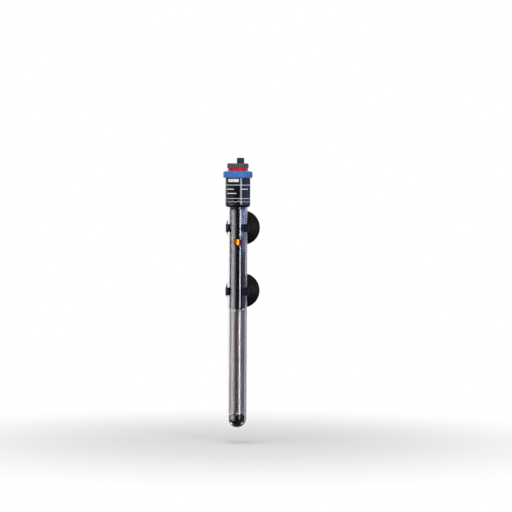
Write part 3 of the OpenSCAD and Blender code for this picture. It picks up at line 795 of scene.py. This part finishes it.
def stand(angle, away, level):
    """A place round the heater: degrees to the right of the camera, metres away and metres above the tip."""
    way = math.radians(angle)
    return Vector((AXIS.x, AXIS.y, TIP + level)) + (FRONT * math.cos(way) + RIGHT * math.sin(way)) * away


def panel(name, place, facing, width, height, radiance, tint="#ffffff"):
    """A soft light at a place, turned to face another, in metres."""
    lamp = bpy.data.lights.new(name, "AREA")
    lamp.shape = "RECTANGLE"
    lamp.size, lamp.size_y = width, height
    lamp.energy = radiance * math.pi * width * height
    lamp.color = tone(tint)[:3]
    holder = bpy.data.objects.new(name, lamp)
    bpy.context.scene.collection.objects.link(holder)
    holder.location = place
    holder.rotation_mode = "QUATERNION"
    holder.rotation_quaternion = (facing - place).to_track_quat("-Z", "Y")


# Distance of the upright lamps. A height on the heater mirrors one height on them, so each lamp is cut where
# the heater changes: above the winding, round the lens and under the head.
LAMPS_AWAY = 2.2
LAMPS_FOOT = -0.45
WINDING_TOP = 0.03
LENS_FROM, LENS_TO = 0.155, 0.169
TUBE_TO, HEAD_FROM = 0.226, 0.232


def upright_panel(name, angle, width, low, high, radiance, tint="#ffffff"):
    """A soft light standing upright, from one height above the tip to another."""
    level = (low + high) / 2
    panel(name, stand(angle, LAMPS_AWAY, level), stand(angle, 0, level), width, high - low, radiance, tint)


# Left: a broad light for the tube, which fades towards the camera. Its faint edge leaves the lens clear.
for middle, width, radiance in ((-67, 1.345, 2.9), (-45, 0.385, 2.1)):
    upright_panel("left_softbox", middle, width, LAMPS_FOOT, TUBE_TO, radiance)
for middle, width, radiance in ((-34.5, 0.424, 1.1), (-23, 0.462, 0.35)):
    upright_panel("left_softbox_edge", middle, width, LAMPS_FOOT, LENS_FROM, radiance)
    upright_panel("left_softbox_edge", middle, width, LENS_TO, TUBE_TO, radiance)

# Right: a narrow strip, brighter for the sleeve and the head than for the winding, with a gap at the lens
STRIP_ANGLE, STRIP_WIDE = 34, 0.48
upright_panel("right_strip_winding", STRIP_ANGLE, STRIP_WIDE, LAMPS_FOOT, WINDING_TOP, 2.4)
upright_panel("right_strip_sleeve", STRIP_ANGLE, STRIP_WIDE, WINDING_TOP, LENS_FROM, 6.6)
upright_panel("right_strip_collar", STRIP_ANGLE, STRIP_WIDE, LENS_TO, TUBE_TO, 6.8)
upright_panel("right_wash_collar", 48.5, 0.65, 0.175, TUBE_TO, 4.0, "#c4cff8")
upright_panel("right_strip_head", 30, 0.65, HEAD_FROM, 0.8, 10.5, "#eaf2ff")

# Right: a broad bluish wash, which fades downwards on the sleeve
upright_panel("right_wash_head", 85, 2.6, HEAD_FROM, 0.7, 1.05, "#9098f6")
wash = ((0.18, TUBE_TO, 2.6), (0.14, 0.18, 1.35), (0.1, 0.14, 0.42), (WINDING_TOP, 0.1, 0.2))
for low, high, radiance in wash:
    upright_panel("right_wash_sleeve", 88, 2.5, low, high, radiance, "#a8baf8")

panel("top_softbox", stand(-20, 0.5, 1.4), MIDDLE, 1.2, 1.2, 2.2)

# The room. The camera sees white. Gloss and glass see it white behind, paler at the left, dim and bluish at
# the right, and dark in front. What has lost its direction on a matt surface sees an even fill.
room = bpy.data.worlds.new("studio")
bpy.context.scene.world = room
room.use_nodes = True
tree = room.node_tree
tree.nodes.clear()
ray = put(tree, "LightPath")
look = put(tree, "TexCoord").outputs["Generated"]


def lit_side(angle, dark, bright, strength, code):
    """Light from one side of the room, fading out between two cosines of the angle from its middle."""
    middle = stand(angle, 1, 0) - stand(0, 0, 0)
    near = put(tree, "VectorMath", {0: look, 1: middle}, operation="DOT_PRODUCT")
    level = put(tree, "MapRange", {"Value": near.outputs["Value"], "From Min": dark, "From Max": bright,
                                   "To Max": strength}, interpolation_type="SMOOTHSTEP")
    return put(tree, "Background", {"Color": tone(code), "Strength": level.outputs["Result"]}).outputs[0]


back = lit_side(197, 0.84, 0.93, 1.0, "#ffffff")
right_flank = lit_side(85, 0.5, 0.85, 0.11, "#d2cbf4")
left_flank = lit_side(-112, 0.8, 0.93, 0.6, "#c8cadc")
right_rear = lit_side(158, 0.9, 0.97, 0.3, "#ffffff")
dim = put(tree, "Background", {"Color": tone("#e8ccf0"), "Strength": 0.05})
mirrored = dim.outputs[0]
for side in (back, right_flank, left_flank, right_rear):
    mirrored = put(tree, "AddShader", {0: mirrored, 1: side}).outputs[0]
fill = put(tree, "Background", {"Color": tone("#ffffff"), "Strength": 0.5})
white = put(tree, "Background", {"Color": tone("#ffffff"), "Strength": 1.0})
matt = put(tree, "Math", {0: ray.outputs["Diffuse Depth"], 1: 0.5}, operation="GREATER_THAN")
lit = put(tree, "MixShader", {0: matt.outputs[0], 1: mirrored, 2: fill.outputs[0]})
both = put(tree, "MixShader", {0: ray.outputs["Is Camera Ray"], 1: lit.outputs[0], 2: white.outputs[0]})
put(tree, "OutputWorld", {"Surface": both.outputs[0]})
room.cycles.sampling_method = "NONE"

# Floor: pale, fading to white away from the heater, and just below the lowest place the tube slides to
SLIDE_DOWN, FLOOR_ROOM = 18, 0.5
FLOOR_REACH = 0.6
FADE_FROM, FADE_TO = 0.06, 0.5
deselect()
bpy.ops.mesh.primitive_circle_add(vertices=96, radius=FLOOR_REACH, fill_type="NGON",
                                  location=(AXIS.x, AXIS.y, TIP - (SLIDE_DOWN + FLOOR_ROOM) * MM))
floor = bpy.context.object
floor.name = "floor"
bpy.ops.object.transform_apply()
pale, tree, shader = blank("floor_pale")
place = put(tree, "TexCoord").outputs["Object"]
centred = put(tree, "Mapping", {"Vector": place, "Location": (-AXIS.x, -AXIS.y, 0), "Scale": (1, 1, 0)})
far = put(tree, "VectorMath", {0: centred.outputs["Vector"]}, operation="LENGTH")
fade = put(tree, "MapRange", {"Value": far.outputs["Value"], "From Min": FADE_FROM, "From Max": FADE_TO},
           interpolation_type="SMOOTHSTEP")
shader.inputs["Base Color"].default_value = tone("#eeeeee")
shader.inputs["Roughness"].default_value = 0.9
glow = put(tree, "Emission", {"Color": tone("#ffffff"), "Strength": 1.0})
ray = put(tree, "LightPath")
seen = put(tree, "Math", {0: ray.outputs["Is Camera Ray"], 1: ray.outputs["Is Transmission Ray"]},
           operation="MAXIMUM")
share = put(tree, "Math", {0: fade.outputs["Result"], 1: seen.outputs[0]}, operation="MULTIPLY")
mixed = put(tree, "MixShader", {0: share.outputs[0], 1: shader.outputs[0], 2: glow.outputs[0]})
tree.links.new(mixed.outputs[0], tree.nodes["Material Output"].inputs["Surface"])
floor.data.materials.append(pale)
# Gloss near the tip mirrors the lamps as it does higher up, and not the floor
floor.visible_glossy = False
floor.visible_transmission = False
floor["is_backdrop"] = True

bpy.context.scene.view_settings.view_transform = "Standard"

low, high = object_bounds()
